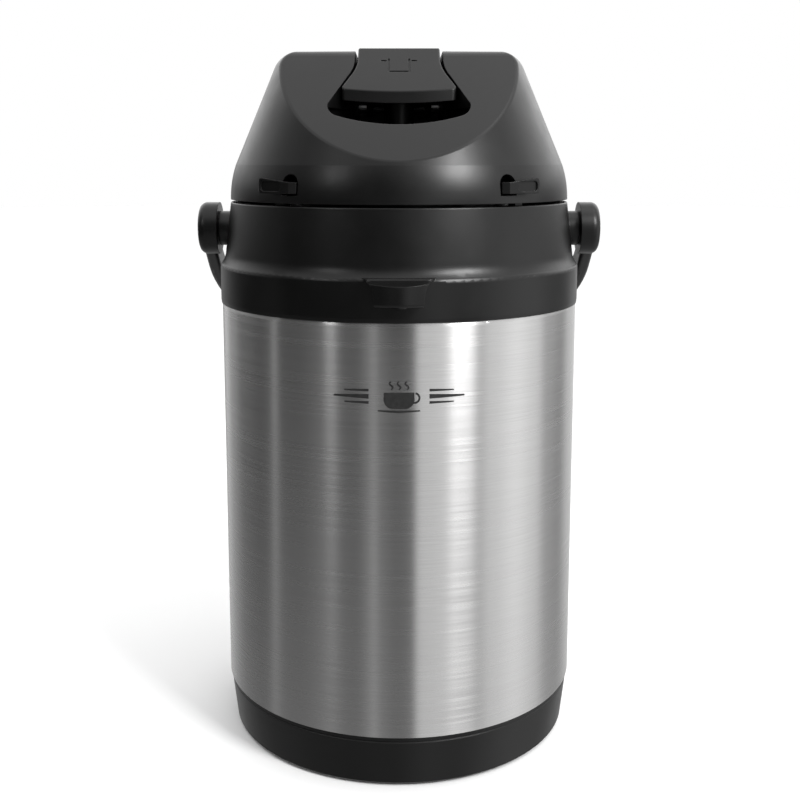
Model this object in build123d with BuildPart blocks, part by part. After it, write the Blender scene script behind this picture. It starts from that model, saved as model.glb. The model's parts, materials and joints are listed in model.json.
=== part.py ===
from build123d import *
from math import cos, radians, sin, tan
import os

os.makedirs("parts", exist_ok=True)

# Pump airpot: a double-walled steel jug on a swivel foot, with a plastic collar and spout,
# a hinged lid that holds a lever-driven bellows pump, and a bail handle.
# Millimetres. +Z is up, the spout points to -Y, and the origin is on the table, on the jug's axis.

# Steel jug
steel_radius = 82.5
steel_wall = 0.8
steel_bottom = 23.7
shoulder_round = 6.0
shoulder_z = 205.9
neck_radius = 37.5
neck_top = 216.0
liner_radius = 76.0
liner_wall = 0.6
liner_bottom_z = 40.0
outer_bottom_z = 30.0

# Base cup and swivel foot
base_floor = 6.6
base_floor_top = 9.6
foot_radius = 74.0
foot_top = 6.4
screw_circle = 66.0
base_screw_count = 3

# Collar
collar_bottom = 201.4
collar_top = 247.2
collar_top_radius = 77.8
band_radius = 83.1
deck_top = 209.4
deck_underside = 206.9
nozzle_y = -87.2
nose_reach = 92.6
outlet_z = 215.5

# Spout tube, from the jug's foot to the nozzle
tube_y = -22.0
tube_radius = 4.0
tube_bore = 3.2
tube_foot = 46.0
tube_top = 219.0
socket_bottom = 210.0
holder_bottom = 218.1
holder_top = 227.0
pipe_z = 222.5
pipe_start = 39.0
pipe_radius = 3.5
pipe_bore = 2.5

# Lid, with a front face that slants down from a ridge
lid_bottom = 248.4
lid_top = 314.6
lid_wall = 2.5
ridge_y = -13.4
ridge_round = 12.0
front_angle = radians(38.66)
front_slope = tan(front_angle)
hinge_y = 80.0
hinge_z = 246.0
knuckle_radius = 4.5
knuckle_half_width = 10.2
ear_outer = 17.0

# Pump
well_floor = 263.5
bay_floor = 284.0
bay_half_width = 19.6
bay_front = 12.0
bay_rear = 46.0
undercut = 4.0
undercut_top = 288.0
pump_floor = 229.5
pump_floor_top = 232.0
flange_bottom = 248.6
flange_top = 251.0
bellows_top = 257.0
bellows_folds = 5
stem_radius = 7.0
stem_top = 298.9
lever_top = 315.6
lever_thickness = 3.2
lever_pivot_y = 40.0
lever_pivot_z = 291.0
lever_rear = 45.0
lever_lip_bottom = 290.0
lever_half_width = 18.2
lever_rib_z = 303.0
lever_rib_radius = 4.0

# Latches, placed by angle from the front
latch_pivot_angle = 32.8
latch_pivot_radius = 70.5
latch_bottom = 252.4
latch_top = 259.0
latch_slot_angle = 35.6
latch_hook_angle = 43.4
latch_hook_radius = 72.2
latch_hook_bottom = 243.0

# Handle
handle_z = 234.5
handle_drop = radians(38.0)
handle_arm = 25.4
handle_bend = 89.5
hub_radius = 12.1
hub_inner = 83.9
hub_outer = 93.0
boss_radius = 8.0
boss_face = 83.5

UP = (Align.CENTER, Align.CENTER, Align.MIN)
ALONG_X = Plane.YZ


def front_point(radius, angle):
    """The point at this radius, at an angle from the front, positive towards +X."""
    return (radius * sin(radians(angle)), -radius * cos(radians(angle)))


def outward_plane(point, angle, height):
    """A plane at a point of the plan, facing outwards at an angle from the front, with its y up."""
    away = (sin(radians(angle)), -cos(radians(angle)), 0)
    sideways = (cos(radians(angle)), sin(radians(angle)), 0)
    return Plane(origin=(*point, height), x_dir=sideways, z_dir=away)


def radial_plane(radius, angle, height):
    """The outward plane at this radius, square to it."""
    return outward_plane(front_point(radius, angle), angle, height)


def hook_place(side):
    """Where a latch's hook arm stands, turned square to the lid."""
    turn = side * latch_hook_angle
    return Location((*front_point(latch_hook_radius, turn), 0), (0, 0, turn))


def sheet_section(points, bends, wall, side):
    """Closed section of sheet metal whose outer skin follows points and is wall thick."""
    with BuildSketch(Plane.XZ) as section:
        with BuildLine():
            FilletPolyline(*points, radius=bends)
            offset(amount=wall, side=side, kind=Kind.INTERSECTION)
        make_face()
    return section.sketch


def section_of(points):
    """Closed section from corners given as radius and height."""
    with BuildSketch(Plane.XZ) as section:
        with BuildLine():
            Polyline(*points, close=True)
        make_face()
    return section.sketch


def make_foot_disc():
    with BuildPart() as foot_disc:
        revolve(
            section_of(
                [
                    (4.05, 3.0), (9.6, 3.0), (9.6, 1.5), (64.0, 1.5), (64.0, 2.1), (71.0, 2.1),
                    (71.0, 1.5), (73.0, 1.5), (foot_radius, 2.5), (foot_radius, 4.5),
                    (59.0, 4.5), (59.0, foot_top), (55.0, foot_top), (55.0, 4.5),
                    (16.0, 4.5), (16.0, foot_top), (4.05, foot_top),
                ]
            ),
            axis=Axis.Z,
        )
    foot_disc.part.label = "foot_disc"
    export_step(foot_disc.part, "parts/foot_disc.step")


def make_foot_ring():
    with BuildPart() as foot_ring:
        revolve(
            section_of([(64.2, 0.4), (64.6, 0), (70.4, 0), (70.8, 0.4), (70.8, 2.1), (64.2, 2.1)]),
            axis=Axis.Z,
        )
    foot_ring.part.label = "foot_ring"
    export_step(foot_ring.part, "parts/foot_ring.step")


def make_pivot_screw():
    with BuildPart() as pivot_screw:
        revolve(
            section_of(
                [
                    (0, 1.1), (1.6, 1.1), (1.6, 0.5), (4.2, 0.5), (4.6, 0.9), (4.6, 2.1), (2.5, 2.1),
                    (2.5, 2.9), (4.0, 2.9), (4.0, base_floor), (2.5, base_floor), (2.5, 14.0), (0, 14.0),
                ]
            ),
            axis=Axis.Z,
        )
    pivot_screw.part.label = "pivot_screw"
    export_step(pivot_screw.part, "parts/pivot_screw.step")


def make_pivot_washer():
    with BuildPart() as pivot_washer:
        revolve(section_of([(2.6, 2.1), (9.0, 2.1), (9.0, 2.9), (2.6, 2.9)]), axis=Axis.Z)
    pivot_washer.part.label = "pivot_washer"
    export_step(pivot_washer.part, "parts/pivot_washer.step")


def make_base_cup():
    with BuildPart() as base_cup:
        revolve(
            section_of(
                [
                    (2.5, base_floor), (75.8, base_floor), (76.2, 1.6), (76.6, 1.2), (79.0, 1.2),
                    (79.5, 1.7), (81.75, 20.9), (81.4, 21.2), (81.4, 21.7), (81.85, 22.0),
                    (81.95, 23.3), (81.8, steel_bottom), (81.5, steel_bottom), (81.5, 29.0),
                    (78.5, 29.0), (78.3, 12.0), (76.0, base_floor_top), (8.0, base_floor_top),
                    (8.0, 17.0), (0, 17.0), (0, 14.6), (2.5, 14.6),
                ]
            ),
            axis=Axis.Z,
        )
        with BuildSketch(Plane.XY.offset(base_floor)):
            with PolarLocations(screw_circle, base_screw_count, start_angle=90):
                Circle(5.0)
        extrude(amount=23.5 - base_floor)
        with BuildSketch(Plane.XY.offset(base_floor)):
            with PolarLocations(screw_circle, base_screw_count, start_angle=90):
                Circle(2.2)
        extrude(amount=23.5 - base_floor, mode=Mode.SUBTRACT)
    base_cup.part.label = "base_cup"
    export_step(base_cup.part, "parts/base_cup.step")


def make_base_fasteners():
    with BuildPart() as base_screws:
        with PolarLocations(screw_circle, base_screw_count, start_angle=90):
            with Locations((0, 0, 5.0)):
                Cylinder(3.2, base_floor - 5.0, align=UP)
            with Locations((0, 0, base_floor)):
                Cylinder(1.9, 29.0 - base_floor, align=UP)
    base_screws.part.label = "base_screws"
    export_step(base_screws.part, "parts/base_screws.step")

    with BuildPart() as base_nuts:
        with BuildSketch(Plane.XY.offset(steel_bottom)):
            with PolarLocations(screw_circle, base_screw_count, start_angle=90):
                RegularPolygon(4.5, 6)
                Circle(1.9, mode=Mode.SUBTRACT)
        extrude(amount=outer_bottom_z - steel_bottom)
    base_nuts.part.label = "base_nuts"
    export_step(base_nuts.part, "parts/base_nuts.step")


def make_steel_jug():
    with BuildPart() as outer_shell:
        revolve(
            sheet_section(
                [
                    (steel_radius, steel_bottom), (steel_radius, shoulder_z),
                    (neck_radius, shoulder_z), (neck_radius, neck_top),
                ],
                [shoulder_round, 3.0],
                steel_wall,
                Side.LEFT,
            ),
            axis=Axis.Z,
        )
    outer_shell.part.label = "outer_shell"
    export_step(outer_shell.part, "parts/outer_shell.step")

    inside = steel_radius - steel_wall
    with BuildPart() as outer_bottom:
        revolve(
            sheet_section(
                [(inside, 36.0), (inside, outer_bottom_z), (0, outer_bottom_z)], [3.0], steel_wall, Side.RIGHT
            ),
            axis=Axis.Z,
        )
    outer_bottom.part.label = "outer_bottom"
    export_step(outer_bottom.part, "parts/outer_bottom.step")

    with BuildPart() as getter:
        with Locations((0, 0, outer_bottom_z + steel_wall)):
            Cylinder(8.0, 3.0, align=UP)
            chamfer(edges().group_by(Axis.Z)[-1], 0.8)
    getter.part.label = "getter"
    export_step(getter.part, "parts/getter.step")


def make_liner():
    liner_neck = neck_radius - steel_wall - 1.3
    with BuildPart() as liner_wall_sheet:
        revolve(
            sheet_section(
                [
                    (liner_radius, 44.0), (liner_radius, 198.0), (liner_neck, 198.0),
                    (liner_neck, neck_top), (neck_radius, neck_top),
                ],
                [8.0, 3.0, 0.5],
                liner_wall,
                Side.LEFT,
            ),
            axis=Axis.Z,
        )
    liner_wall_sheet.part.label = "liner_wall"
    export_step(liner_wall_sheet.part, "parts/liner_wall.step")

    inside = liner_radius - liner_wall
    with BuildPart() as liner_bottom:
        revolve(
            sheet_section(
                [(inside, 52.0), (inside, liner_bottom_z), (0, liner_bottom_z)], [9.0], liner_wall, Side.RIGHT
            ),
            axis=Axis.Z,
        )
    liner_bottom.part.label = "liner_bottom"
    export_step(liner_bottom.part, "parts/liner_bottom.step")


def collar_ring():
    """The collar without its spout, ears and bosses."""
    skirt = shoulder_round + 0.3
    skirt_r = steel_radius - shoulder_round
    skirt_z = shoulder_z - shoulder_round
    edge_r = skirt_r + (skirt**2 - (collar_bottom - skirt_z) ** 2) ** 0.5
    inner_r = 79.5
    inner_z = skirt_z + (skirt**2 - (inner_r - skirt_r) ** 2) ** 0.5
    mid_r = skirt_r + skirt * cos(radians(38))
    mid_z = skirt_z + skirt * sin(radians(38))
    inside_top_r = collar_top_radius - 3.0
    inside_low_r = band_radius - 4.0
    with BuildPart() as ring:
        with BuildSketch(Plane.XZ):
            with BuildLine():
                Polyline(
                    (edge_r, collar_bottom), (82.9, collar_bottom), (band_radius, 203.0), (band_radius, 217.4)
                )
                ThreePointArc((band_radius, 217.4), (82.95, 218.5), (82.4, 219.3))
                ThreePointArc((82.4, 219.3), (81.2, 221.4), (80.5, 224.6))
                ThreePointArc((80.5, 224.6), (79.3, 235.0), (collar_top_radius, collar_top))
                Polyline((collar_top_radius, collar_top), (inside_top_r, collar_top))
                ThreePointArc((inside_top_r, collar_top), (76.2, 234.6), (inside_low_r, 217.0))
                Polyline(
                    (inside_low_r, 217.0), (inside_low_r, deck_top), (41.0, deck_top), (41.0, neck_top - 0.2),
                    (neck_radius + 0.3, neck_top - 0.2), (neck_radius + 0.3, deck_underside + 2.2),
                    (41.0, deck_underside), (inner_r, deck_underside), (inner_r, inner_z),
                )
                ThreePointArc((inner_r, inner_z), (mid_r, mid_z), (edge_r, collar_bottom))
            make_face()
        revolve(axis=Axis.Z)
        fillet(ring.edges().group_by(Axis.Z)[-1].sort_by(SortBy.LENGTH)[-1], 0.6)
    return ring.part


def spout_nose():
    """Beak under the collar's lip, from its flared root down to its flat underside."""
    slices = [
        # height, half width, front reach, corner
        (208.8, 9.8, 94.6, 1.0),
        (212.5, 10.2, 94.6, 1.0),
        (216.0, 10.8, 94.0, 1.2),
        (217.8, 12.0, 90.6, 2.4),
        (219.5, 14.9, 85.4, 2.6),
    ]
    root = 80.4
    front_bow = 24.0
    with BuildPart() as nose:
        for height, half_width, reach, corner in slices:
            with BuildSketch(Plane.XY.offset(height)):
                with Locations((0, -(root - 6.0 + reach) / 2)):
                    RectangleRounded(2 * half_width, reach - root + 6.0, corner)
        loft()
        with BuildSketch(Plane.XY.offset(200.0)):
            with Locations((0, front_bow - nose_reach)):
                Circle(front_bow)
        extrude(amount=30.0, mode=Mode.INTERSECT)
        with BuildSketch(Plane.XY.offset(200.0)):
            Circle(root)
        extrude(amount=30.0, mode=Mode.SUBTRACT)
        front = nose.edges().filter_by(lambda e: e.center().Y < -root - 6 and e.center().Z < 212.0)
        fillet(front, 1.3)
    return nose.part


def make_collar():
    with BuildPart() as collar:
        add(collar_ring())
        add(spout_nose())
        # Handle bosses
        with BuildSketch(ALONG_X.offset(76.0)):
            with Locations((0, handle_z)):
                Circle(boss_radius)
        extrude(amount=boss_face - 76.0)
        with BuildSketch(ALONG_X.offset(-boss_face)):
            with Locations((0, handle_z)):
                Circle(boss_radius)
        extrude(amount=boss_face - 76.0)
        # Hinge ears
        for side in (-1, 1):
            start = side * ear_outer if side < 0 else knuckle_half_width + 0.4
            with BuildSketch(ALONG_X.offset(start)):
                with BuildLine():
                    Polyline(
                        (75.2, hinge_z + 1.2), (hinge_y, hinge_z + knuckle_radius),
                        (hinge_y + knuckle_radius, hinge_z), (hinge_y + 2.0, hinge_z - knuckle_radius),
                        (77.6, 233.0), (76.4, 233.0), close=True,
                    )
                make_face()
                with Locations((hinge_y, hinge_z)):
                    Circle(knuckle_radius)
            extrude(amount=ear_outer - knuckle_half_width - 0.4)
        # Catch ledges that the latch hooks pass
        for side in (-1, 1):
            with BuildSketch(radial_plane(73.6, side * (latch_hook_angle + 0.4), 245.8)):
                Rectangle(8.0, 2.0)
            extrude(amount=2.0)
        # Room for the lid's hinge knuckle
        with BuildSketch(ALONG_X.offset(-knuckle_half_width - 0.4)):
            with Locations((hinge_y, hinge_z)):
                Circle(knuckle_radius + 0.5)
        extrude(amount=2 * knuckle_half_width + 0.8, mode=Mode.SUBTRACT)
        # Hinge pin holes
        with BuildSketch(ALONG_X.offset(-ear_outer - 1)):
            with Locations((hinge_y, hinge_z)):
                Circle(1.5)
        extrude(amount=2 * ear_outer + 2, mode=Mode.SUBTRACT)
        # Handle pin holes
        with BuildSketch(ALONG_X.offset(-90.0)):
            with Locations((0, handle_z)):
                Circle(3.0)
        extrude(amount=14.0, mode=Mode.SUBTRACT)
        with BuildSketch(ALONG_X.offset(76.0)):
            with Locations((0, handle_z)):
                Circle(3.0)
        extrude(amount=14.0, mode=Mode.SUBTRACT)
        # Coffee channel: in from the deck, then down through the nose
        with BuildSketch(Plane.XZ.offset(77.0)):
            with Locations((0, outlet_z)):
                Circle(3.5)
        extrude(amount=82.0 - 77.0, mode=Mode.SUBTRACT)
        with BuildSketch(Plane.XZ.offset(81.5)):
            with Locations((0, outlet_z)):
                Circle(2.5)
        extrude(amount=-nozzle_y - 81.5, mode=Mode.SUBTRACT)
        with BuildSketch(Plane.XY.offset(208.0)):
            with Locations((0, nozzle_y)):
                Circle(3.6)
        extrude(amount=4.5, mode=Mode.SUBTRACT)
        with BuildSketch(Plane.XY.offset(212.0)):
            with Locations((0, nozzle_y)):
                Circle(2.5)
        extrude(amount=outlet_z - 212.0, mode=Mode.SUBTRACT)
    collar.part.label = "collar"
    export_step(collar.part, "parts/collar.step")


def make_hinge_pins():
    with BuildPart() as hinge_pin:
        with BuildSketch(ALONG_X.offset(-ear_outer)):
            with Locations((hinge_y, hinge_z)):
                Circle(1.5)
        extrude(amount=2 * ear_outer)
    hinge_pin.part.label = "hinge_pin"
    export_step(hinge_pin.part, "parts/hinge_pin.step")

    with BuildPart() as handle_pins:
        for side in (-1, 1):
            with BuildSketch(ALONG_X.offset(side * 77.0)):
                with Locations((0, handle_z)):
                    Circle(3.0)
            extrude(amount=side * (hub_outer - 3.4 - 77.0))
            with BuildSketch(ALONG_X.offset(side * (hub_outer - 3.4))):
                with Locations((0, handle_z)):
                    Circle(5.6)
            extrude(amount=side * 2.2)
    handle_pins.part.label = "handle_pins"
    export_step(handle_pins.part, "parts/handle_pins.step")


def make_neck_parts():
    with BuildPart() as neck_ring:
        revolve(section_of([(41.1, deck_top), (47.0, deck_top), (47.0, 214.5), (41.1, 214.5)]), axis=Axis.Z)
        with BuildSketch(Plane.XY.offset(211.5)):
            with PolarLocations(47.0, 8):
                Rectangle(3.0, 7.0)
        extrude(amount=4.0, mode=Mode.SUBTRACT)
    neck_ring.part.label = "neck_ring"
    export_step(neck_ring.part, "parts/neck_ring.step")

    with BuildPart() as neck_gasket:
        revolve(
            section_of([(35.3, 216.6), (40.0, 216.6), (40.0, 218.1), (35.3, 218.1)]), axis=Axis.Z
        )
    neck_gasket.part.label = "neck_gasket"
    export_step(neck_gasket.part, "parts/neck_gasket.step")


def make_tube_holder():
    with BuildPart() as tube_holder:
        revolve(
            section_of(
                [(35.0, holder_bottom), (43.0, holder_bottom), (43.0, holder_top), (35.0, holder_top)]
            ),
            axis=Axis.Z,
        )
        with BuildSketch(Plane.XY.offset(holder_bottom)):
            with Locations((0, tube_y / 2 - 20.0)):
                Rectangle(12.0, 18.0)
            with Locations((0, tube_y)):
                Circle(8.0)
        extrude(amount=holder_top - holder_bottom)
        # Socket for the siphon tube, and the passage on to the outlet pipe
        with BuildSketch(Plane.XY.offset(socket_bottom)):
            with Locations((0, tube_y)):
                Circle(tube_radius + 3.0)
        extrude(amount=holder_bottom - socket_bottom)
        with BuildSketch(Plane.XY.offset(socket_bottom)):
            with Locations((0, tube_y)):
                Circle(tube_radius)
        extrude(amount=tube_top - socket_bottom, mode=Mode.SUBTRACT)
        with BuildSketch(Plane.XY.offset(tube_top)):
            with Locations((0, tube_y)):
                Circle(3.0)
        extrude(amount=pipe_z - tube_top, mode=Mode.SUBTRACT)
        with BuildSketch(Plane.XZ.offset(-tube_y)):
            with Locations((0, pipe_z)):
                Circle(pipe_bore)
        extrude(amount=25.0, mode=Mode.SUBTRACT)
        with BuildSketch(Plane.XZ.offset(pipe_start)):
            with Locations((0, pipe_z)):
                Circle(pipe_radius)
        extrude(amount=6.0, mode=Mode.SUBTRACT)
    tube_holder.part.label = "tube_holder"
    export_step(tube_holder.part, "parts/tube_holder.step")


def make_siphon():
    with BuildPart() as siphon_tube:
        with BuildSketch(Plane.XY.offset(tube_foot)):
            with Locations((0, tube_y)):
                Circle(tube_radius)
                Circle(tube_bore, mode=Mode.SUBTRACT)
        extrude(amount=tube_top - tube_foot)
        # Slanted cut so that the foot of the tube never seals against the bottom
        with BuildSketch(Plane.YZ):
            with BuildLine():
                Polyline(
                    (tube_y - 5, tube_foot - 1), (tube_y + 5, tube_foot - 1), (tube_y + 5, tube_foot + 4),
                    (tube_y - 5, tube_foot), close=True,
                )
            make_face()
        extrude(amount=6.0, both=True, mode=Mode.SUBTRACT)
    siphon_tube.part.label = "siphon_tube"
    export_step(siphon_tube.part, "parts/siphon_tube.step")

    with BuildPart() as siphon_ring:
        with BuildSketch(Plane.XY.offset(207.8)):
            with Locations((0, tube_y)):
                Circle(6.4)
                Circle(tube_radius, mode=Mode.SUBTRACT)
        extrude(amount=socket_bottom - 207.8)
    siphon_ring.part.label = "siphon_ring"
    export_step(siphon_ring.part, "parts/siphon_ring.step")


def make_outlet():
    with BuildLine(Plane.YZ) as route:
        FilletPolyline((-pipe_start, pipe_z), (-51.0, pipe_z), (-69.0, outlet_z), (-82.0, outlet_z), radius=9.0)
    with BuildPart() as outlet_pipe:
        with BuildSketch(Plane.XZ.offset(pipe_start)):
            with Locations((0, pipe_z)):
                Circle(pipe_radius)
                Circle(pipe_bore, mode=Mode.SUBTRACT)
        sweep(path=route.line)
    outlet_pipe.part.label = "outlet_pipe"
    export_step(outlet_pipe.part, "parts/outlet_pipe.step")

    with BuildPart() as outlet_seals:
        with BuildSketch(Plane.XZ.offset(43.2)):
            with Locations((0, pipe_z)):
                Circle(5.2)
                Circle(pipe_radius, mode=Mode.SUBTRACT)
        extrude(amount=1.6)
        with BuildSketch(Plane.XZ.offset(76.6)):
            with Locations((0, outlet_z)):
                Circle(5.2)
                Circle(pipe_radius, mode=Mode.SUBTRACT)
        extrude(amount=1.6)
    outlet_seals.part.label = "outlet_seals"
    export_step(outlet_seals.part, "parts/outlet_seals.step")

    with BuildPart() as spout_nozzle:
        with BuildSketch(Plane.XY.offset(208.2)):
            with Locations((0, nozzle_y)):
                Circle(3.6)
                Circle(2.6, mode=Mode.SUBTRACT)
        extrude(amount=4.3)
    spout_nozzle.part.label = "spout_nozzle"
    export_step(spout_nozzle.part, "parts/spout_nozzle.step")


def lid_envelope(inset):
    """Solid inside the lid's outer faces, pulled in by inset."""
    cone = inset * 1.09
    top = lid_top - inset
    front_drop = inset / cos(front_angle)
    corner_y = ridge_y + (front_drop - inset) / front_slope
    turn = ridge_round - inset
    run = turn * tan(front_angle / 2)
    far = 120.0
    with BuildPart() as envelope:
        with BuildSketch(Plane.XZ):
            with BuildLine():
                Polyline((0, top), (0, lid_bottom), (77.8 - inset, lid_bottom))
                ThreePointArc((77.8 - inset, lid_bottom), (77.1 - inset, 256.6), (75.2 - cone, 264.0))
                Line((75.2 - cone, 264.0), (57.0 - cone, 307.2))
                ThreePointArc(
                    (57.0 - cone, 307.2), (53.7 - inset, 311.6 - inset * 0.6), (48.3 - inset, 314.1 - inset)
                )
                Line((48.3 - inset, 314.1 - inset), (0, top))
            make_face()
        revolve(axis=Axis.Z)
        with BuildSketch(Plane.YZ):
            with BuildLine():
                ThreePointArc(
                    (corner_y - run * cos(front_angle), top - run * sin(front_angle)),
                    (corner_y + run - turn * sin(front_angle / 2), top - turn + turn * cos(front_angle / 2)),
                    (corner_y + run, top),
                )
                Polyline(
                    (corner_y + run, top), (corner_y + run, lid_top + 30.0), (-far, lid_top + 30.0),
                    (-far, top - (far + corner_y) * front_slope),
                    (corner_y - run * cos(front_angle), top - run * sin(front_angle)),
                )
            make_face()
        extrude(amount=100.0, both=True, mode=Mode.SUBTRACT)
    return envelope.part


def well_outline(grow=0.0, back=0.0):
    """Plan of the lever well: a narrow bay that flares, from further back if asked, to a round mouth."""
    flare_y = back - 19.0
    half = bay_half_width
    with BuildSketch() as outline:
        with BuildLine():
            Polyline((half, flare_y), (half, bay_front), (-half, bay_front), (-half, flare_y))
            for side in (-1, 1):
                ThreePointArc(
                    (side * half, flare_y), (side * 20.3, flare_y - 5.0), (side * 22.3, flare_y - 9.5)
                )
                Polyline((side * 22.3, flare_y - 9.5), (side * 29.6, flare_y - 24.0), (side * 30.2, -44.0))
                ThreePointArc((side * 30.2, -44.0), (side * 29.7, -47.9), (side * 26.4, -51.0))
            ThreePointArc((-26.4, -51.0), (0, -55.7), (26.4, -51.0))
        make_face()
        if grow:
            offset(amount=grow)
    return outline.sketch


def screw_boss_points():
    return [front_point(62.0, angle) for angle in (45, 135, 225, 315)]


def lid_inner_works():
    """Walls of the well and the bay, and the screw bosses, cut to the inside of the lid."""
    with BuildPart() as inner_works:
        with BuildSketch(Plane.XY.offset(well_floor - 2.5)):
            add(well_outline(2.0))
        extrude(amount=60.0)
        with BuildSketch(Plane.XY.offset(well_floor - 2.5)):
            add(well_outline(2.0, undercut))
        extrude(amount=undercut_top + 2.0 - well_floor + 2.5)
        with BuildSketch(Plane.XY.offset(bay_floor - 2.0)):
            with Locations((0, (bay_front + bay_rear) / 2)):
                Rectangle(2 * bay_half_width + 4.0, bay_rear - bay_front + 4.0)
        extrude(amount=40.0)
        with BuildSketch(Plane.XY.offset(flange_top)):
            with Locations(*screw_boss_points()):
                Circle(4.0)
        extrude(amount=60.0)
        add(lid_envelope(0.4), mode=Mode.INTERSECT)
    return inner_works.part


def make_lid_shell():
    ear_gap = 0.5
    with BuildPart() as lid_shell:
        add(lid_envelope(0))
        slant = lid_shell.faces().filter_by(GeomType.PLANE).filter_by(lambda f: 0.3 < f.normal_at().Z < 0.95)
        fillet(slant.edges().filter_by(lambda e: e.center().Z < 300), 2.0)
        add(lid_envelope(lid_wall), mode=Mode.SUBTRACT)
        add(lid_inner_works())
        # Well, the room under its edge, the rear bay and the hole that guides the plunger
        with BuildSketch(Plane.XY.offset(well_floor)):
            add(well_outline())
        extrude(amount=60.0, mode=Mode.SUBTRACT)
        with BuildSketch(Plane.XY.offset(well_floor)):
            add(well_outline(0, undercut))
        extrude(amount=undercut_top - well_floor, mode=Mode.SUBTRACT)
        with BuildSketch(Plane.XY.offset(bay_floor)):
            with Locations((0, bay_rear / 2 + 4.0)):
                Rectangle(2 * bay_half_width, bay_rear - 8.0)
        extrude(amount=40.0, mode=Mode.SUBTRACT)
        with BuildSketch(Plane.XY.offset(well_floor - 5.0)):
            Circle(stem_radius + 0.4)
        extrude(amount=10.0, mode=Mode.SUBTRACT)
        # Lever pin
        with BuildSketch(ALONG_X.offset(-bay_half_width - 1.8)):
            with Locations((lever_pivot_y, lever_pivot_z)):
                Circle(2.0)
        extrude(amount=2 * bay_half_width + 3.6, mode=Mode.SUBTRACT)
        # Screw holes in the bosses
        with BuildSketch(Plane.XY.offset(flange_top)):
            with Locations(*screw_boss_points()):
                Circle(1.5)
        extrude(amount=12.0, mode=Mode.SUBTRACT)
        # Latch windows, round-topped
        for side in (-1, 1):
            with BuildSketch(radial_plane(72.0, side * latch_slot_angle, 256.0)):
                Circle(4.3)
                with Locations((0, -2.2)):
                    Rectangle(8.6, 4.4)
            extrude(amount=8.0, mode=Mode.SUBTRACT)
        # Hinge: clear the collar's ears, then add the knuckle
        for start in (-ear_outer - ear_gap, knuckle_half_width):
            with BuildSketch(ALONG_X.offset(start)):
                with Locations((hinge_y, hinge_z)):
                    Circle(knuckle_radius + 0.7)
            extrude(amount=ear_outer + ear_gap - knuckle_half_width, mode=Mode.SUBTRACT)
        with BuildSketch(ALONG_X.offset(-knuckle_half_width)):
            with Locations((hinge_y, hinge_z)):
                Circle(knuckle_radius)
            with BuildLine():
                Polyline(
                    (75.4, 248.6), (hinge_y, hinge_z), (hinge_y + 3.6, hinge_z + 2.6),
                    (76.4, 256.0), (75.0, 256.0), close=True,
                )
            make_face()
        extrude(amount=2 * knuckle_half_width)
        with BuildSketch(ALONG_X.offset(-knuckle_half_width - 1)):
            with Locations((hinge_y, hinge_z)):
                Circle(1.56)
        extrude(amount=2 * knuckle_half_width + 2, mode=Mode.SUBTRACT)
    lid_shell.part.label = "lid_shell"
    export_step(lid_shell.part, "parts/lid_shell.step")


def make_pump_housing():
    with BuildPart() as pump_housing:
        revolve(
            section_of(
                [
                    (0, pump_floor), (45.0, pump_floor), (46.0, pump_floor + 1.0), (46.0, flange_bottom),
                    (74.4, flange_bottom), (74.4, flange_top), (43.5, flange_top), (43.5, pump_floor_top),
                    (0, pump_floor_top),
                ]
            ),
            axis=Axis.Z,
        )
        with BuildSketch(Plane.XY.offset(pump_floor)):
            with PolarLocations(5.5, 4):
                Circle(1.8)
            Circle(1.5)
        extrude(amount=pump_floor_top - pump_floor, mode=Mode.SUBTRACT)
        with BuildSketch(Plane.XY.offset(flange_bottom)):
            with Locations(*screw_boss_points()):
                Circle(1.6)
            for side in (-1, 1):
                with Locations(front_point(latch_pivot_radius, side * latch_pivot_angle)):
                    Circle(1.5)
                with Locations(hook_place(side)):
                    Rectangle(9.5, 7.6)
        extrude(amount=flange_top - flange_bottom, mode=Mode.SUBTRACT)
    pump_housing.part.label = "pump_housing"
    export_step(pump_housing.part, "parts/pump_housing.step")


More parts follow.
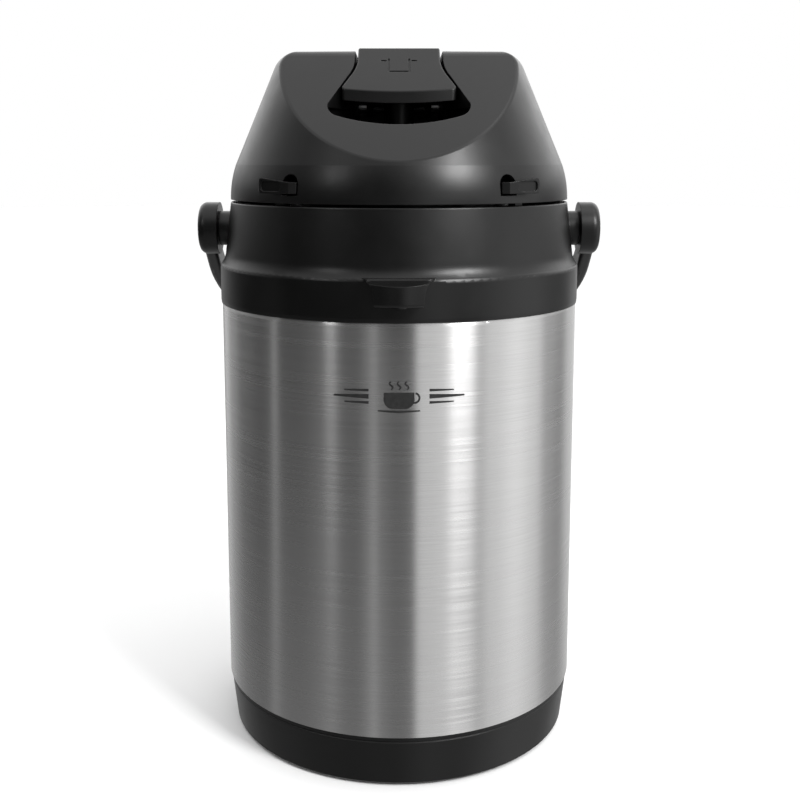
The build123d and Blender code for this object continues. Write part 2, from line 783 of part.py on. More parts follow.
def make_pump_parts():
    with BuildPart() as air_flap:
        revolve(
            section_of(
                [(0, 228.5), (8.5, 228.5), (9.0, pump_floor), (1.5, pump_floor), (1.5, pump_floor_top),
                 (2.3, pump_floor_top), (1.3, 234.0), (0, 234.0)]
            ),
            axis=Axis.Z,
        )
    air_flap.part.label = "air_flap"
    export_step(air_flap.part, "parts/air_flap.step")

    with BuildPart() as lid_gasket:
        revolve(
            section_of(
                [
                    (34.6, 227.2), (35.2, 227.1), (42.4, 227.1), (43.0, 227.4), (43.0, pump_floor),
                    (34.6, pump_floor),
                ]
            ),
            axis=Axis.Z,
        )
    lid_gasket.part.label = "lid_gasket"
    export_step(lid_gasket.part, "parts/lid_gasket.step")

    # Bellows: a zigzag wall between two radii, closed by a disc on top
    half_folds = 2 * bellows_folds
    rise = (bellows_top - pump_floor_top - 1.5) / half_folds
    outside = [(39.5 if i % 2 else 34.5, pump_floor_top + 0.6 + i * rise) for i in range(half_folds + 1)]
    inside = [(r - 1.0, z) for r, z in outside]
    with BuildPart() as bellows:
        revolve(
            section_of(
                [(33.5, pump_floor_top), (42.0, pump_floor_top), (42.0, pump_floor_top + 0.6)]
                + outside
                + [(34.5, bellows_top), (0, bellows_top), (0, bellows_top - 0.9)]
                + inside[::-1]
            ),
            axis=Axis.Z,
        )
    bellows.part.label = "bellows"
    export_step(bellows.part, "parts/bellows.step")

    spring_radius = 16.0
    spring_low = pump_floor_top + 1.3
    spring_turns = 5
    spring_rise = bellows_top - 1.0 - 1.3 - spring_low
    with BuildPart() as pump_spring:
        coil = Helix(
            pitch=spring_rise / spring_turns, height=spring_rise, radius=spring_radius, center=(0, 0, spring_low)
        )
        with BuildSketch(Plane(coil @ 0, z_dir=coil % 0)):
            Circle(1.0)
        sweep(path=coil, is_frenet=True)
    pump_spring.part.label = "pump_spring"
    export_step(pump_spring.part, "parts/pump_spring.step")

    with BuildPart() as plunger:
        disc_bottom = bellows_top + 0.1
        disc_top = disc_bottom + 2.0
        stem_bore = stem_radius - 2.0
        revolve(
            section_of(
                [
                    (0, disc_bottom), (35.0, disc_bottom), (36.0, disc_top), (11.0, disc_top),
                    (stem_radius, disc_top + 1.7), (stem_radius, stem_top - 0.6), (stem_radius - 0.6, stem_top),
                    (0, stem_top), (0, stem_top - 3.0), (stem_bore, stem_top - 3.0), (stem_bore, disc_top),
                    (0, disc_top),
                ]
            ),
            axis=Axis.Z,
        )
    plunger.part.label = "plunger"
    export_step(plunger.part, "parts/plunger.step")


def make_lid_fasteners():
    with BuildPart() as lid_screws:
        with Locations(*[(x, y, flange_bottom) for x, y in screw_boss_points()]):
            Cylinder(1.5, 14.0, align=UP)
        with Locations(*[(x, y, flange_bottom - 1.8) for x, y in screw_boss_points()]):
            Cylinder(3.0, 1.8, align=UP)
    lid_screws.part.label = "lid_screws"
    export_step(lid_screws.part, "parts/lid_screws.step")

    with BuildPart() as latch_pins:
        for side in (-1, 1):
            with Locations((*front_point(latch_pivot_radius, side * latch_pivot_angle), flange_bottom)):
                Cylinder(1.5, 11.0, align=UP)
    latch_pins.part.label = "latch_pins"
    export_step(latch_pins.part, "parts/latch_pins.step")

    with BuildPart() as lever_pin:
        with BuildSketch(ALONG_X.offset(-bay_half_width - 1.8)):
            with Locations((lever_pivot_y, lever_pivot_z)):
                Circle(2.0)
        extrude(amount=2 * bay_half_width + 3.6)
    lever_pin.part.label = "lever_pin"
    export_step(lever_pin.part, "parts/lever_pin.step")


def lever_plan():
    """Plan of the lever: narrow over the bay, flaring to a bowed front edge."""
    half = lever_half_width
    with BuildSketch(Plane.XY.offset(well_floor)) as plan:
        with BuildLine():
            Polyline((half, -18.0), (half, lever_rear), (-half, lever_rear), (-half, -18.0))
            for side in (-1, 1):
                ThreePointArc((side * half, -18.0), (side * 19.0, -23.8), (side * 21.0, -28.6))
                Line((side * 21.0, -28.6), (side * 25.7, -37.2))
            ThreePointArc((-25.7, -37.2), (0, -38.9), (25.7, -37.2))
        make_face()
        fillet(plan.vertices().filter_by(lambda v: v.Y < -36.0), 2.0)
    return plan.sketch


def make_lever():
    under = lever_top - lever_thickness
    slope_thickness = lever_thickness / cos(front_angle)
    lip_y = -36.2
    far = 44.0
    under_bend_y = ridge_y + (slope_thickness - lever_thickness) / front_slope
    lip_inside_z = lever_top - (ridge_y - lip_y) * front_slope - slope_thickness
    lip_end_z = lever_lip_bottom + 1.9
    with BuildPart() as lever:
        with BuildSketch(Plane.YZ):
            with BuildLine():
                Polyline(
                    (lever_rear, lever_top), (ridge_y, lever_top),
                    (-far, lever_top - (far + ridge_y) * front_slope), (-far, lever_lip_bottom),
                    (lip_y, lever_lip_bottom), (lip_y, lip_inside_z),
                    (under_bend_y, under), (lever_rear, under), close=True,
                )
            make_face()
        extrude(amount=30.0, both=True)
        fillet(lever.edges().filter_by(Axis.X).filter_by(lambda e: e.center().Z > lever_top - 0.1), 2.2)
        extrude(lever_plan(), amount=60.0, mode=Mode.INTERSECT)
        # The front lip is deepest in its middle
        with BuildSketch(Plane.XZ.offset(-lip_y - 0.5)):
            with BuildLine():
                ThreePointArc((-27.0, lip_end_z), (0, lever_lip_bottom + 0.2), (27.0, lip_end_z))
                Polyline((27.0, lip_end_z), (27.0, 280.0), (-27.0, 280.0), (-27.0, lip_end_z))
            make_face()
        extrude(amount=5.0, mode=Mode.SUBTRACT)
        outer = lever.edges().filter_by(lambda e: e.center().Z > 293.0 and e.center().Y < lip_y + 0.6)
        fillet(outer, 0.9)
        # Skirt that closes the bay behind the lever's pivot
        with BuildSketch(Plane.XZ.offset(-lever_rear)):
            with Locations((0, under - 4.0)):
                Rectangle(2 * lever_half_width, 8.0)
        extrude(amount=2.0)
        # Two side ribs that end in lugs round the pin
        for side in (-1, 1):
            with BuildSketch(ALONG_X.offset(side * 13.0)):
                with BuildLine():
                    Polyline(
                        (lever_rear, under), (lever_rear, 300.0), (lever_pivot_y + 4.0, lever_pivot_z),
                        (lever_pivot_y - 4.0, lever_pivot_z), (31.0, 306.0), (-8.0, 307.0), (-29.0, 295.0),
                        (-29.0, 299.0), (under_bend_y, under), close=True,
                    )
                make_face()
                with Locations((lever_pivot_y, lever_pivot_z)):
                    Circle(4.0)
            extrude(amount=side * 3.0)
        # Rounded rib that pushes the plunger
        with BuildSketch(ALONG_X.offset(-9.0)):
            with Locations((0, lever_rib_z)):
                Circle(lever_rib_radius)
            with Locations((0, (lever_rib_z + under) / 2)):
                Rectangle(2 * lever_rib_radius, under - lever_rib_z)
        extrude(amount=18.0)
        with BuildSketch(ALONG_X.offset(-17.0)):
            with Locations((lever_pivot_y, lever_pivot_z)):
                Circle(2.06)
        extrude(amount=34.0, mode=Mode.SUBTRACT)
        # Moulded pictogram: a cup outline between two short bars
        slope = Plane(
            origin=(0, 0, lever_top - ridge_y * front_slope),
            x_dir=(1, 0, 0),
            z_dir=(0, -sin(front_angle), cos(front_angle)),
        )
        with BuildSketch(slope.offset(-0.4)):
            with Locations((-4.5, -30.3), (4.5, -30.3)):
                Rectangle(0.8, 9.6)
            with Locations((0, -35.1)):
                Rectangle(9.8, 0.8)
            with Locations((-6.7, -27.0), (6.7, -27.0)):
                Rectangle(2.4, 0.9)
        extrude(amount=2.0, mode=Mode.SUBTRACT)
    lever.part.label = "lever"
    export_step(lever.part, "parts/lever.step")


def latch_plan(side):
    """Plan of a latch: wing outside the lid wall, root through it and an arm inside."""

    def at(radius, angle):
        return front_point(radius, side * angle)

    arm_end = latch_hook_angle + 1.9
    with BuildSketch(Plane.XY.offset(latch_bottom)) as plan:
        with Locations(at(latch_pivot_radius, latch_pivot_angle)):
            Circle(3.2)
        with BuildLine():
            Polyline(
                at(71.6, 32.2), at(77.4, 33.1), at(79.3, 35.0), at(81.0, 40.0), at(82.4, 44.8),
                at(82.0, 45.9), at(80.4, 45.8), at(79.4, 41.0), at(78.4, 37.3), at(71.8, 36.2), close=True,
            )
        make_face()
        with BuildLine():
            Polyline(
                at(68.2, latch_pivot_angle), at(71.4, arm_end), at(73.3, arm_end),
                at(72.6, latch_pivot_angle + 3.5), close=True,
            )
        make_face()
    return plan.sketch


def latch_front(side):
    """Plane on the wing's outer face, with the wing's tip towards its positive x for the right latch."""
    root_x, root_y = front_point(79.3, side * 35.0)
    tip_x, tip_y = front_point(82.4, side * 44.8)
    middle = ((root_x + tip_x) / 2, (root_y + tip_y) / 2)
    turn = 27.3
    return outward_plane(middle, side * turn, (latch_bottom + latch_top) / 2)


def make_latch(side, name):
    half = (latch_top - latch_bottom) / 2
    with BuildPart() as latch:
        extrude(latch_plan(side), amount=latch_top - latch_bottom)
        # Seen from the front the wing is tallest at its rounded tip and tapers to the root
        with BuildSketch(latch_front(side).offset(-30.0)) as outline:
            with BuildLine():
                Polyline(
                    (side * 7.9, half), (side * 7.9, -half), (side * -40.0, -half),
                    (side * -40.0, half - 1.9), (side * -7.0, half - 1.9), close=True,
                )
            make_face()
            fillet(outline.vertices().filter_by(lambda v: abs(v.X) < 9.0 and side * v.X > 0), 2.0)
        extrude(amount=40.0, mode=Mode.INTERSECT)
        # Shallow grip pocket in the wing's outer face
        with BuildSketch(latch_front(side).offset(-0.7)):
            with Locations((side * 1.6, -0.25)):
                RectangleRounded(9.6, 4.3, 1.5)
        extrude(amount=3.0, mode=Mode.SUBTRACT)
        # Hook arm down past the catch ledge
        with BuildSketch(Plane.XY.offset(latch_hook_bottom)):
            with Locations(hook_place(side)):
                Rectangle(4.6, 2.0)
        extrude(amount=latch_bottom + 2.0 - latch_hook_bottom)
        with Locations((*front_point(latch_pivot_radius, side * latch_pivot_angle), latch_bottom)):
            Cylinder(1.56, 8.0, align=UP, mode=Mode.SUBTRACT)
    latch.part.label = name
    export_step(latch.part, "parts/" + name + ".step")


def make_handle():
    arm_dir = Vector(0, cos(handle_drop), -sin(handle_drop))
    normal = Vector(0, sin(handle_drop), cos(handle_drop))
    bail = Plane(origin=(0, 0, handle_z), x_dir=(1, 0, 0), z_dir=normal)
    with BuildLine(bail) as spine:
        Line((-handle_bend, 0), (-handle_bend, handle_arm))
        ThreePointArc((-handle_bend, handle_arm), (0, handle_arm + handle_bend), (handle_bend, handle_arm))
        Line((handle_bend, handle_arm), (handle_bend, 0))
    with BuildPart() as handle:
        for side in (-1, 1):
            with BuildSketch(ALONG_X.offset(side * hub_inner)):
                with Locations((0, handle_z)):
                    Circle(hub_radius)
            extrude(amount=side * (hub_outer - hub_inner))
        rims = handle.edges().filter_by(GeomType.CIRCLE)
        fillet(rims.filter_by(lambda e: abs(e.center().X) > hub_outer - 0.1), 3.6)
        with BuildSketch(Plane(origin=(-handle_bend, 0, handle_z), x_dir=(1, 0, 0), z_dir=arm_dir)):
            RectangleRounded(6.0, 13.0, 2.2)
        sweep(path=spine.line)
        for side in (-1, 1):
            with BuildSketch(ALONG_X.offset(side * (hub_inner - 1.0))):
                with Locations((0, handle_z)):
                    Circle(3.06)
            extrude(amount=side * 12.0, mode=Mode.SUBTRACT)
            with BuildSketch(ALONG_X.offset(side * (hub_outer - 3.5))):
                with Locations((0, handle_z)):
                    Circle(5.8)
            extrude(amount=side * 5.0, mode=Mode.SUBTRACT)
    handle.part.label = "handle"
    export_step(handle.part, "parts/handle.step")


make_foot_disc()
make_foot_ring()
make_pivot_screw()
make_pivot_washer()
make_base_cup()
make_base_fasteners()
make_steel_jug()
make_liner()
make_collar()
make_hinge_pins()
make_neck_parts()
make_tube_holder()
make_siphon()
make_outlet()
make_lid_shell()
make_pump_housing()
make_pump_parts()
make_lid_fasteners()
make_lever()
make_latch(-1, "latch_left")
make_latch(1, "latch_right")
make_handle()
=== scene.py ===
import json
import math

import bmesh
import bpy
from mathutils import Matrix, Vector


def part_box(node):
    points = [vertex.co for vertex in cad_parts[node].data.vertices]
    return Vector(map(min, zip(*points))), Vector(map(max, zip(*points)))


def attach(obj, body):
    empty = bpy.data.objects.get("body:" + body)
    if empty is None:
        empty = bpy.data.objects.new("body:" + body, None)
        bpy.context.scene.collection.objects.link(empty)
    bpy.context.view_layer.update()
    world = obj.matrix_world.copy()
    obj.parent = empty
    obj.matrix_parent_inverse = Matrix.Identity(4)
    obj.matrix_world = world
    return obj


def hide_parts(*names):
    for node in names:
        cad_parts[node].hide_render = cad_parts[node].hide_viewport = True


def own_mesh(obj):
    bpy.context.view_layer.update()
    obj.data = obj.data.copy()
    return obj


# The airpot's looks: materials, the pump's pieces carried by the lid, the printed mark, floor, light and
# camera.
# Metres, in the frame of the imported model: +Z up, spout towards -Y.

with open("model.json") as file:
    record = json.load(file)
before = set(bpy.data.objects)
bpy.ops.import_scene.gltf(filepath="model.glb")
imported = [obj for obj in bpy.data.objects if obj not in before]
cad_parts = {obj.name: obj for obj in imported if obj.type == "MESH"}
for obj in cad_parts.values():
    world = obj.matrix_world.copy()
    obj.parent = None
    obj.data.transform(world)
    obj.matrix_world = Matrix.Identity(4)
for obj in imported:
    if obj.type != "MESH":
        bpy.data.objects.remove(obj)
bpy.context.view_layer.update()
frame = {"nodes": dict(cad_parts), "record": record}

MM = 0.001
SHELL_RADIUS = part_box("outer_shell")[1].x


# ---------------------------------------------------------------- node helpers


# Where nearly all of a noise texture's values lie
NOISE_LOW = 0.3
NOISE_HIGH = 0.7


def add_node(tree, kind, **settings):
    """A new node of this kind with its options set."""
    made = tree.nodes.new(kind)
    for key, value in settings.items():
        setattr(made, key, value)
    return made


class Shader:
    """A node material, with short calls for the nodes that the airpot's finishes share."""

    def __init__(self, name):
        self.material = bpy.data.materials.new(name)
        self.material.use_nodes = True
        self.tree = self.material.node_tree
        self.surface = self.tree.nodes["Principled BSDF"]

    def node(self, kind, **settings):
        return add_node(self.tree, kind, **settings)

    def link(self, output, target):
        self.tree.links.new(output, target)

    def set(self, **values):
        """Sets sockets of the surface, with underscores for spaces."""
        for key, value in values.items():
            self.surface.inputs[key.replace("_", " ")].default_value = value

    def place(self, scale=(1, 1, 1)):
        """The object's own coordinates in metres, scaled along each axis."""
        coordinates = self.node("ShaderNodeTexCoord")
        mapping = self.node("ShaderNodeMapping")
        mapping.inputs["Scale"].default_value = scale
        self.link(coordinates.outputs["Object"], mapping.inputs["Vector"])
        return mapping.outputs["Vector"]

    def noise(self, scale, detail=2.0, roughness=0.5, stretch=(1, 1, 1)):
        """Cloudy values about 0.5; stretch above 1 packs them closer along that axis."""
        texture = self.node("ShaderNodeTexNoise")
        texture.inputs["Scale"].default_value = scale
        texture.inputs["Detail"].default_value = detail
        texture.inputs["Roughness"].default_value = roughness
        self.link(self.place(stretch), texture.inputs["Vector"])
        return texture.outputs["Fac"]

    def spread(self, value, low, high):
        """Maps the usual run of a noise value to a range."""
        ramp = self.node("ShaderNodeMapRange")
        ramp.inputs["From Min"].default_value = NOISE_LOW
        ramp.inputs["From Max"].default_value = NOISE_HIGH
        ramp.inputs["To Min"].default_value = low
        ramp.inputs["To Max"].default_value = high
        self.link(value, ramp.inputs["Value"])
        return ramp.outputs["Result"]

    def mix(self, factor, first, second):
        """Mixes two colours, each a colour or an output."""
        blend = self.node("ShaderNodeMix", data_type="RGBA")
        self.link(factor, blend.inputs[0])
        for socket, colour in ((blend.inputs[6], first), (blend.inputs[7], second)):
            if isinstance(colour, tuple):
                socket.default_value = colour
            else:
                self.link(colour, socket)
        return blend.outputs[2]

    def bump(self, height, distance, normal=None):
        """Normals of a surface that rises by this distance where the height is 1."""
        made = self.node("ShaderNodeBump")
        made.inputs["Distance"].default_value = distance
        self.link(height, made.inputs["Height"])
        if normal is not None:
            self.link(normal, made.inputs["Normal"])
        return made.outputs["Normal"]

    def rounded(self, radius):
        """Normals that round off the edges by this radius."""
        made = self.node("ShaderNodeBevel", samples=4)
        made.inputs["Radius"].default_value = radius
        return made.outputs["Normal"]


def grey(level, warm=0.0):
    """A grey colour, made warmer by this share."""
    return (level * (1 + warm), level, level * (1 - warm), 1.0)


# ---------------------------------------------------------------- materials


def moulded_plastic(name, level, gloss):
    """Satin moulded plastic: fine spark-eroded grain, faint flow marks and smudges, and softened edges."""
    grain = 0.012 * MM
    edge = 0.45 * MM
    shader = Shader(name)
    cloud = shader.noise(18.0, 3.0)
    fine = shader.noise(2600.0, 1.0)
    colour = shader.mix(shader.spread(cloud, 0.0, 1.0), grey(level * 0.86), grey(level * 1.14))
    shader.link(colour, shader.surface.inputs["Base Color"])
    smudge = shader.noise(55.0, 4.0, 0.6)
    shader.link(shader.spread(smudge, gloss - 0.035, gloss + 0.045), shader.surface.inputs["Roughness"])
    normal = shader.bump(fine, grain, shader.rounded(edge))
    shader.link(normal, shader.surface.inputs["Normal"])
    shader.set(IOR=1.49, Specular_IOR_Level=0.44)
    return shader.material


def brushed_steel(name, level, gloss, stretch, depth, along=0.0):
    """Steel brushed round its axis: fine scratches in colour, gloss and height. Where along is above 0, the
    shine is drawn out across the scratches."""
    sweep_size = 0.22
    shader = Shader(name)
    hair = shader.noise(1.0, 2.0, 0.6, stretch)
    sweep = shader.noise(1.0, 2.0, 0.5, tuple(s * sweep_size for s in stretch))
    colour = shader.mix(shader.spread(hair, 0.0, 1.0), grey(level * 0.95, 0.006), grey(level * 1.04, 0.003))
    shader.link(colour, shader.surface.inputs["Base Color"])
    shader.link(shader.spread(sweep, gloss - 0.012, gloss + 0.018), shader.surface.inputs["Roughness"])
    shader.link(shader.bump(hair, depth), shader.surface.inputs["Normal"])
    if along:
        ring = shader.node("ShaderNodeTangent", direction_type="RADIAL", axis="Z")
        shader.link(ring.outputs["Tangent"], shader.surface.inputs["Tangent"])
        shader.set(Anisotropic=along, Anisotropic_Rotation=0.25)
    shader.set(Metallic=1.0)
    return shader.material


def plain_metal(name, level, gloss):
    """Plated or polished metal with faint cloudy wear."""
    shader = Shader(name)
    cloud = shader.noise(120.0, 4.0, 0.6)
    colour = shader.mix(shader.spread(cloud, 0.0, 1.0), grey(level * 0.9), grey(level * 1.06))
    shader.link(colour, shader.surface.inputs["Base Color"])
    shader.link(shader.spread(cloud, gloss - 0.05, gloss + 0.08), shader.surface.inputs["Roughness"])
    normal = shader.bump(shader.noise(900.0), 0.01 * MM, shader.rounded(0.2 * MM))
    shader.link(normal, shader.surface.inputs["Normal"])
    shader.set(Metallic=1.0)
    return shader.material


def soft_rubber(name, level, gloss):
    """Silicone or rubber: dull, slightly mottled."""
    shader = Shader(name)
    cloud = shader.noise(60.0, 4.0, 0.6)
    colour = shader.mix(shader.spread(cloud, 0.0, 1.0), grey(level * 0.85, 0.01), grey(level * 1.1, 0.015))
    shader.link(colour, shader.surface.inputs["Base Color"])
    shader.link(shader.spread(cloud, gloss - 0.06, gloss + 0.06), shader.surface.inputs["Roughness"])
    normal = shader.bump(shader.noise(1500.0), 0.02 * MM, shader.rounded(0.25 * MM))
    shader.link(normal, shader.surface.inputs["Normal"])
    return shader.material


finishes = {
    "black_plastic": moulded_plastic("black_plastic", level=0.0012, gloss=0.34),
    "lever_plastic": moulded_plastic("lever_plastic", level=0.0016, gloss=0.36),
    "inner_plastic": moulded_plastic("inner_plastic", level=0.30, gloss=0.42),
    "brushed_shell": brushed_steel(
        "brushed_shell", level=0.62, gloss=0.26, stretch=(30.0, 30.0, 4600.0), depth=0.0016 * MM, along=1.0
    ),
    "bright_steel": brushed_steel(
        "bright_steel", level=0.66, gloss=0.2, stretch=(60.0, 60.0, 900.0), depth=0.002 * MM
    ),
    # Painted shade: the fasteners are coloured much darker than plated metal, so the lever's pin stays dark
    # in the lid's well and the handle pins shine less
    "fastener": plain_metal("fastener", level=0.3, gloss=0.38),
    "silicone": soft_rubber("silicone", level=0.62, gloss=0.45),
    "black_rubber": soft_rubber("black_rubber", level=0.018, gloss=0.62),
    "bellows_rubber": soft_rubber("bellows_rubber", level=0.07, gloss=0.5),
}

slot_of = {row["node"]: row["material_slot"] for row in frame["record"]["subparts"]}
for node, piece in frame["nodes"].items():
    for material_slot in piece.material_slots:
        material_slot.material = finishes[slot_of[node]]


# ---------------------------------------------------------------- pump


def squeezed_by_plunger(node):
    """A copy of the node's own shape, carried by the lid and shown in place of the node."""
    piece = bpy.data.objects.new(f"{node}_squeezed", frame["nodes"][node].data.copy())
    bpy.context.scene.collection.objects.link(piece)
    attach(piece, "lid")
    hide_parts(node)
    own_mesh(piece)


for node in ("bellows", "pump_spring"):
    squeezed_by_plunger(node)


# ---------------------------------------------------------------- printed mark


def flat_strip(points, widths):
    """Outline of a ribbon along points, with its width at each of them."""
    left, right = [], []
    for i, (x, y) in enumerate(points):
        before, after = points[max(i - 1, 0)], points[min(i + 1, len(points) - 1)]
        away = Vector((after[0] - before[0], after[1] - before[1])).normalized()
        left.append((x - away.y * widths[i] / 2, y + away.x * widths[i] / 2))
        right.append((x + away.y * widths[i] / 2, y - away.x * widths[i] / 2))
    return left + right[::-1]


def arc(centre, radius, start, end, steps):
    """Points round a centre from one angle to another, in degrees."""
    cx, cy = centre
    angles = [math.radians(start + (end - start) * i / steps) for i in range(steps + 1)]
    return [(cx + radius * math.cos(a), cy + radius * math.sin(a)) for a in angles]


def cup_outlines():
    """A cup with its handle on a saucer, in millimetres about the mark's middle."""
    rim_y = 1.6
    rim_x = 6.2
    corner_radius = 3.9
    corner_x = 2.4
    corner_y = -1.2
    left_side = arc((-corner_x, corner_y), corner_radius, 184, 262, 6)
    right_side = arc((corner_x, corner_y), corner_radius, 278, 356, 6)
    cup = [(-rim_x, rim_y)] + left_side + right_side + [(rim_x, rim_y)]
    handle_line = arc((6.3, -0.6), 2.0, 78, -112, 10)
    handle = flat_strip(handle_line, [0.8] * len(handle_line))
    saucer = flat_strip([(-8.6, -5.9), (0, -6.3), (8.6, -5.9)], [0.5, 1.0, 0.5])
    return [cup, handle, saucer]


def steam_outlines():
    """Three waves over the cup, thin at both ends."""
    steps = range(9)
    widths = [0.35 + 0.4 * math.sin(math.pi * (t + 1) / 10) for t in steps]
    waves = []
    for x in (-3.2, 0.0, 3.2):
        wave = [(x + 0.7 * math.sin(t * math.pi / 4), 2.9 + 0.42 * t) for t in steps]
        waves.append(flat_strip(wave, widths))
    return waves


def bar_outlines():
    """Three bars each side of the cup that get thinner outwards."""
    inner = 12.4
    long_end = 27.2
    short_end = 22.6
    bars = []
    for side in (-1, 1):
        near = side * inner
        far = side * long_end
        end = side * short_end
        bars.append([(near, -0.95), (far, -0.35), (far, 0.35), (near, 0.95)])
        bars.append([(near, -3.1), (end, -2.7), (end, -2.2), (near, -2.0)])
        bars.append([(near, 3.1), (end, 2.7), (end, 2.2), (near, 2.0)])
    return bars


def wrapped_print(name, shapes, radius, height, thickness):
    """Closed film of ink: flat shapes, cut into narrow columns and wrapped round the jug's front."""
    work = bmesh.new()
    for outline in shapes:
        corners = [work.verts.new((x, y, 0)) for x, y in outline]
        rim = [work.edges.new((a, b)) for a, b in zip(corners, corners[1:] + corners[:1])]
        bmesh.ops.triangle_fill(work, edges=rim, use_beauty=True, use_dissolve=False)
    # A column each millimetre keeps the film close to the round steel
    half_width = 28
    for cut in range(-half_width, half_width + 1):
        parts = work.verts[:] + work.edges[:] + work.faces[:]
        bmesh.ops.bisect_plane(work, geom=parts, plane_co=(cut, 0, 0), plane_no=(1, 0, 0))
    for face in work.faces:
        if face.normal.z < 0:
            face.normal_flip()
    front = bmesh.ops.extrude_face_region(work, geom=work.faces[:])
    for vertex in front["geom"]:
        if isinstance(vertex, bmesh.types.BMVert):
            vertex.co.z = thickness / MM
    for vertex in work.verts:
        angle = vertex.co.x * MM / radius
        depth = radius + vertex.co.z * MM
        vertex.co = (depth * math.sin(angle), -depth * math.cos(angle), height + vertex.co.y * MM)
    bmesh.ops.recalc_face_normals(work, faces=work.faces[:])
    return finished(name, work)


def finished(name, work):
    """The bmesh as an object of the scene."""
    mesh = bpy.data.meshes.new(name)
    work.to_mesh(mesh)
    work.free()
    piece = bpy.data.objects.new(name, mesh)
    bpy.context.scene.collection.objects.link(piece)
    return piece


def ink():
    """Printed ink, slightly uneven."""
    shader = Shader("dark_ink")
    wear = shader.noise(700.0, 3.0, 0.6)
    colour = shader.mix(shader.spread(wear, 0.0, 1.0), grey(0.012), grey(0.02))
    shader.link(colour, shader.surface.inputs["Base Color"])
    shader.link(shader.spread(wear, 0.4, 0.55), shader.surface.inputs["Roughness"])
    shader.set(Specular_IOR_Level=0.3)
    return shader.material


INK_GAP = 0.01 * MM
INK_THICKNESS = 0.05 * MM
MARK_HEIGHT = 0.1714


def printed_mark():
    """A steaming cup between two groups of bars, printed on the steel's front."""
    shapes = cup_outlines() + steam_outlines() + bar_outlines()
    mark = wrapped_print("printed_cup_mark", shapes, SHELL_RADIUS + INK_GAP, MARK_HEIGHT, INK_THICKNESS)
    mark.data.materials.append(ink())
    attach(mark, "vessel")


printed_mark()


# ---------------------------------------------------------------- floor, light, camera


FLOOR_RADIUS = 6.0
HEAD_HEIGHT = 0.27
LIGHT_DISTANCE = 1.2


def floor():
    """A plain pale floor that reaches far beyond the airpot."""
    work = bmesh.new()
    bmesh.ops.create_circle(work, cap_ends=True, segments=96, radius=FLOOR_RADIUS)
    piece = finished("floor", work)
    shader = Shader("pale_floor")
    shader.set(Base_Color=grey(0.96), Roughness=0.9, Specular_IOR_Level=0.0)
    piece.data.materials.append(shader.material)
    # The steel mirrors the studio's walls, not the floor
    piece.visible_glossy = False


def around(angle, rise):
    """A light's place, seen from the airpot's head at this compass angle and elevation in degrees."""
    turn = math.radians(angle)
    tilt = math.radians(rise)
    flat = LIGHT_DISTANCE * math.cos(tilt)
    up = LIGHT_DISTANCE * math.sin(tilt)
    return (flat * math.sin(turn), -flat * math.cos(turn), HEAD_HEIGHT + up)


def area_light(name, place, aim, size, power):
    """A rectangular lamp at a place, facing aim."""
    data = bpy.data.lights.new(name, "AREA")
    data.shape = "RECTANGLE"
    data.size, data.size_y = size
    data.energy = power
    lamp = bpy.data.objects.new(name, data)
    lamp.location = place
    lamp.rotation_mode = "QUATERNION"
    lamp.rotation_quaternion = (Vector(aim) - Vector(place)).to_track_quat("-Z", "Y")
    bpy.context.scene.collection.objects.link(lamp)


def studio_lights():
    """A large key light to the right, a narrow one to the left and a weak one from above."""
    lid_front = (0, 0, 0.26)
    lid_top = (0, 0, 0.3)
    above = (0.45, -0.05, 1.4)
    area_light("key", around(42, 30), lid_front, size=(0.3, 0.42), power=12.0)
    area_light("left_fill", around(-44, 25), lid_front, size=(0.12, 0.3), power=1.1)
    area_light("overhead", above, lid_top, size=(0.6, 0.5), power=1.2)


# Brightness of the studio by compass angle in degrees, 0 in front and positive to the right:
# low walls below eye level, which fade into the high walls above it
LOW_WALLS = [
    (-180, 0.9), (-171, 0.8), (-163, 0.25), (-152, 0.6), (-135, 0.26), (-118, 0.03), (-98, 0.0), (-90, 0.05),
    (-85, 0.4), (-81, 0.03), (-66, 0.03), (-49, 0.1), (-39, 0.03), (-26, 0.04), (-20, 0.18), (-16, 0.4),
    (-11, 0.12), (-2, 0.03), (8, 0.04), (13, 0.95), (24, 0.95), (32, 0.7), (40, 0.25), (50, 0.4),
    (60, 0.95), (80, 1.35), (96, 1.05), (110, 0.4), (126, 0.22), (143, 0.62), (180, 0.9),
]
HIGH_WALLS = [
    (-180, 1.9), (-150, 1.7), (-122, 1.1), (-98, 0.4), (-76, 0.1), (-40, 0.05), (0, 0.12),
    (16, 0.5), (34, 0.75), (70, 1.0), (100, 1.0), (124, 1.7), (150, 1.9), (180, 1.9),
]
CEILING = 1.15
TABLE = 0.45


def wall_ring(tree, share, levels):
    """The walls' brightness at this share of a full turn."""
    ring = add_node(tree, "ShaderNodeValToRGB")
    ring.color_ramp.interpolation = "EASE"
    ring.color_ramp.elements[0].color = grey(levels[0][1])
    ring.color_ramp.elements[1].color = grey(levels[-1][1])
    for angle, level in levels[1:-1]:
        ring.color_ramp.elements.new((angle + 180.0) / 360.0).color = grey(level)
    tree.links.new(share, ring.inputs["Fac"])
    return ring.outputs["Color"]


def fade(tree, height, start, end, strength, first, second):
    """Goes from first to second, by this strength, as the direction's height passes from start to end."""
    amount = add_node(tree, "ShaderNodeMapRange", interpolation_type="SMOOTHSTEP")
    amount.inputs["From Min"].default_value = start
    amount.inputs["From Max"].default_value = end
    amount.inputs["To Max"].default_value = strength
    tree.links.new(height, amount.inputs["Value"])
    blend = add_node(tree, "ShaderNodeMix", data_type="RGBA")
    tree.links.new(amount.outputs[0], blend.inputs[0])
    tree.links.new(first, blend.inputs[6])
    if isinstance(second, tuple):
        blend.inputs[7].default_value = second
    else:
        tree.links.new(second, blend.inputs[7])
    return blend.outputs[2]


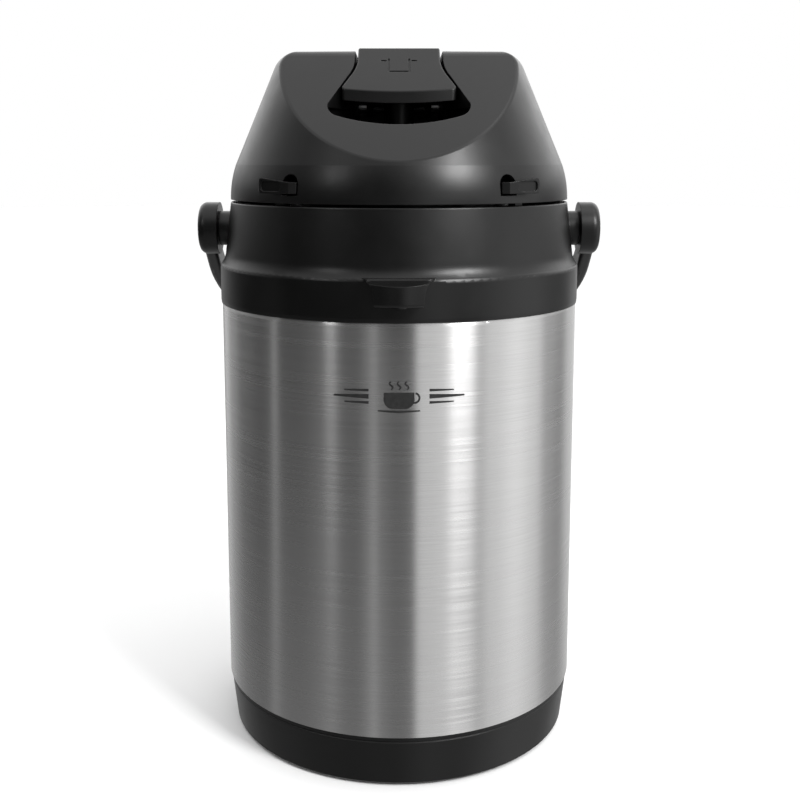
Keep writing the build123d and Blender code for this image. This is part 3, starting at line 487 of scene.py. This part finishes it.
def share_of_turn(tree, direction):
    """Where a direction points on the compass: 0 and 1 behind the airpot, 0.5 in front."""
    back = add_node(tree, "ShaderNodeMath", operation="MULTIPLY")
    back.inputs[1].default_value = -1.0
    tree.links.new(direction.outputs["Y"], back.inputs[0])
    compass = add_node(tree, "ShaderNodeMath", operation="ARCTAN2")
    tree.links.new(direction.outputs["X"], compass.inputs[0])
    tree.links.new(back.outputs[0], compass.inputs[1])
    share = add_node(tree, "ShaderNodeMapRange")
    share.inputs["From Min"].default_value = -math.pi
    share.inputs["From Max"].default_value = math.pi
    tree.links.new(compass.outputs[0], share.inputs["Value"])
    return share.outputs[0]


def studio_world():
    """A white studio: walls that are light or dark by compass angle, a grey table and a bright ceiling."""
    world = bpy.data.worlds.new("studio")
    world.use_nodes = True
    tree = world.node_tree
    direction = add_node(tree, "ShaderNodeSeparateXYZ")
    coordinates = add_node(tree, "ShaderNodeTexCoord")
    tree.links.new(coordinates.outputs["Generated"], direction.inputs["Vector"])
    height = direction.outputs["Z"]
    share = share_of_turn(tree, direction)
    low = wall_ring(tree, share, LOW_WALLS)
    high = wall_ring(tree, share, HIGH_WALLS)
    room = fade(tree, height, start=0.0, end=0.2, strength=1.0, first=low, second=high)
    room = fade(tree, height, start=0.45, end=0.85, strength=1.0, first=room, second=grey(CEILING))
    room = fade(tree, height, start=-0.14, end=-0.62, strength=0.6, first=room, second=grey(TABLE))
    lit = tree.nodes["Background"]
    tree.links.new(room, lit.inputs["Color"])
    # Behind the airpot the camera sees a plain white backdrop
    backdrop = add_node(tree, "ShaderNodeBackground")
    backdrop.inputs["Color"].default_value = grey(1.0)
    choose = add_node(tree, "ShaderNodeMixShader")
    tree.links.new(add_node(tree, "ShaderNodeLightPath").outputs["Is Camera Ray"], choose.inputs["Fac"])
    tree.links.new(lit.outputs[0], choose.inputs[1])
    tree.links.new(backdrop.outputs[0], choose.inputs[2])
    tree.links.new(choose.outputs[0], tree.nodes["World Output"].inputs["Surface"])
    bpy.context.scene.world = world


def camera():
    """Seen from the front, a little above the airpot's middle and tilted down."""
    distance = 0.5236
    height = 0.267
    pitch = math.radians(8.283)
    data = bpy.data.cameras.new("camera")
    data.sensor_width = 36.0
    data.lens = 50.1
    data.shift_y = -0.1
    data.shift_x = 0.0012
    data.clip_start = 0.01
    eye = bpy.data.objects.new("camera", data)
    eye.location = (0, -distance, height)
    eye.rotation_euler = (math.pi / 2 - pitch, 0, 0)
    bpy.context.scene.collection.objects.link(eye)
    bpy.context.scene.camera = eye


floor()
studio_world()
studio_lights()
camera()
bpy.context.scene.view_settings.view_transform = "Standard"
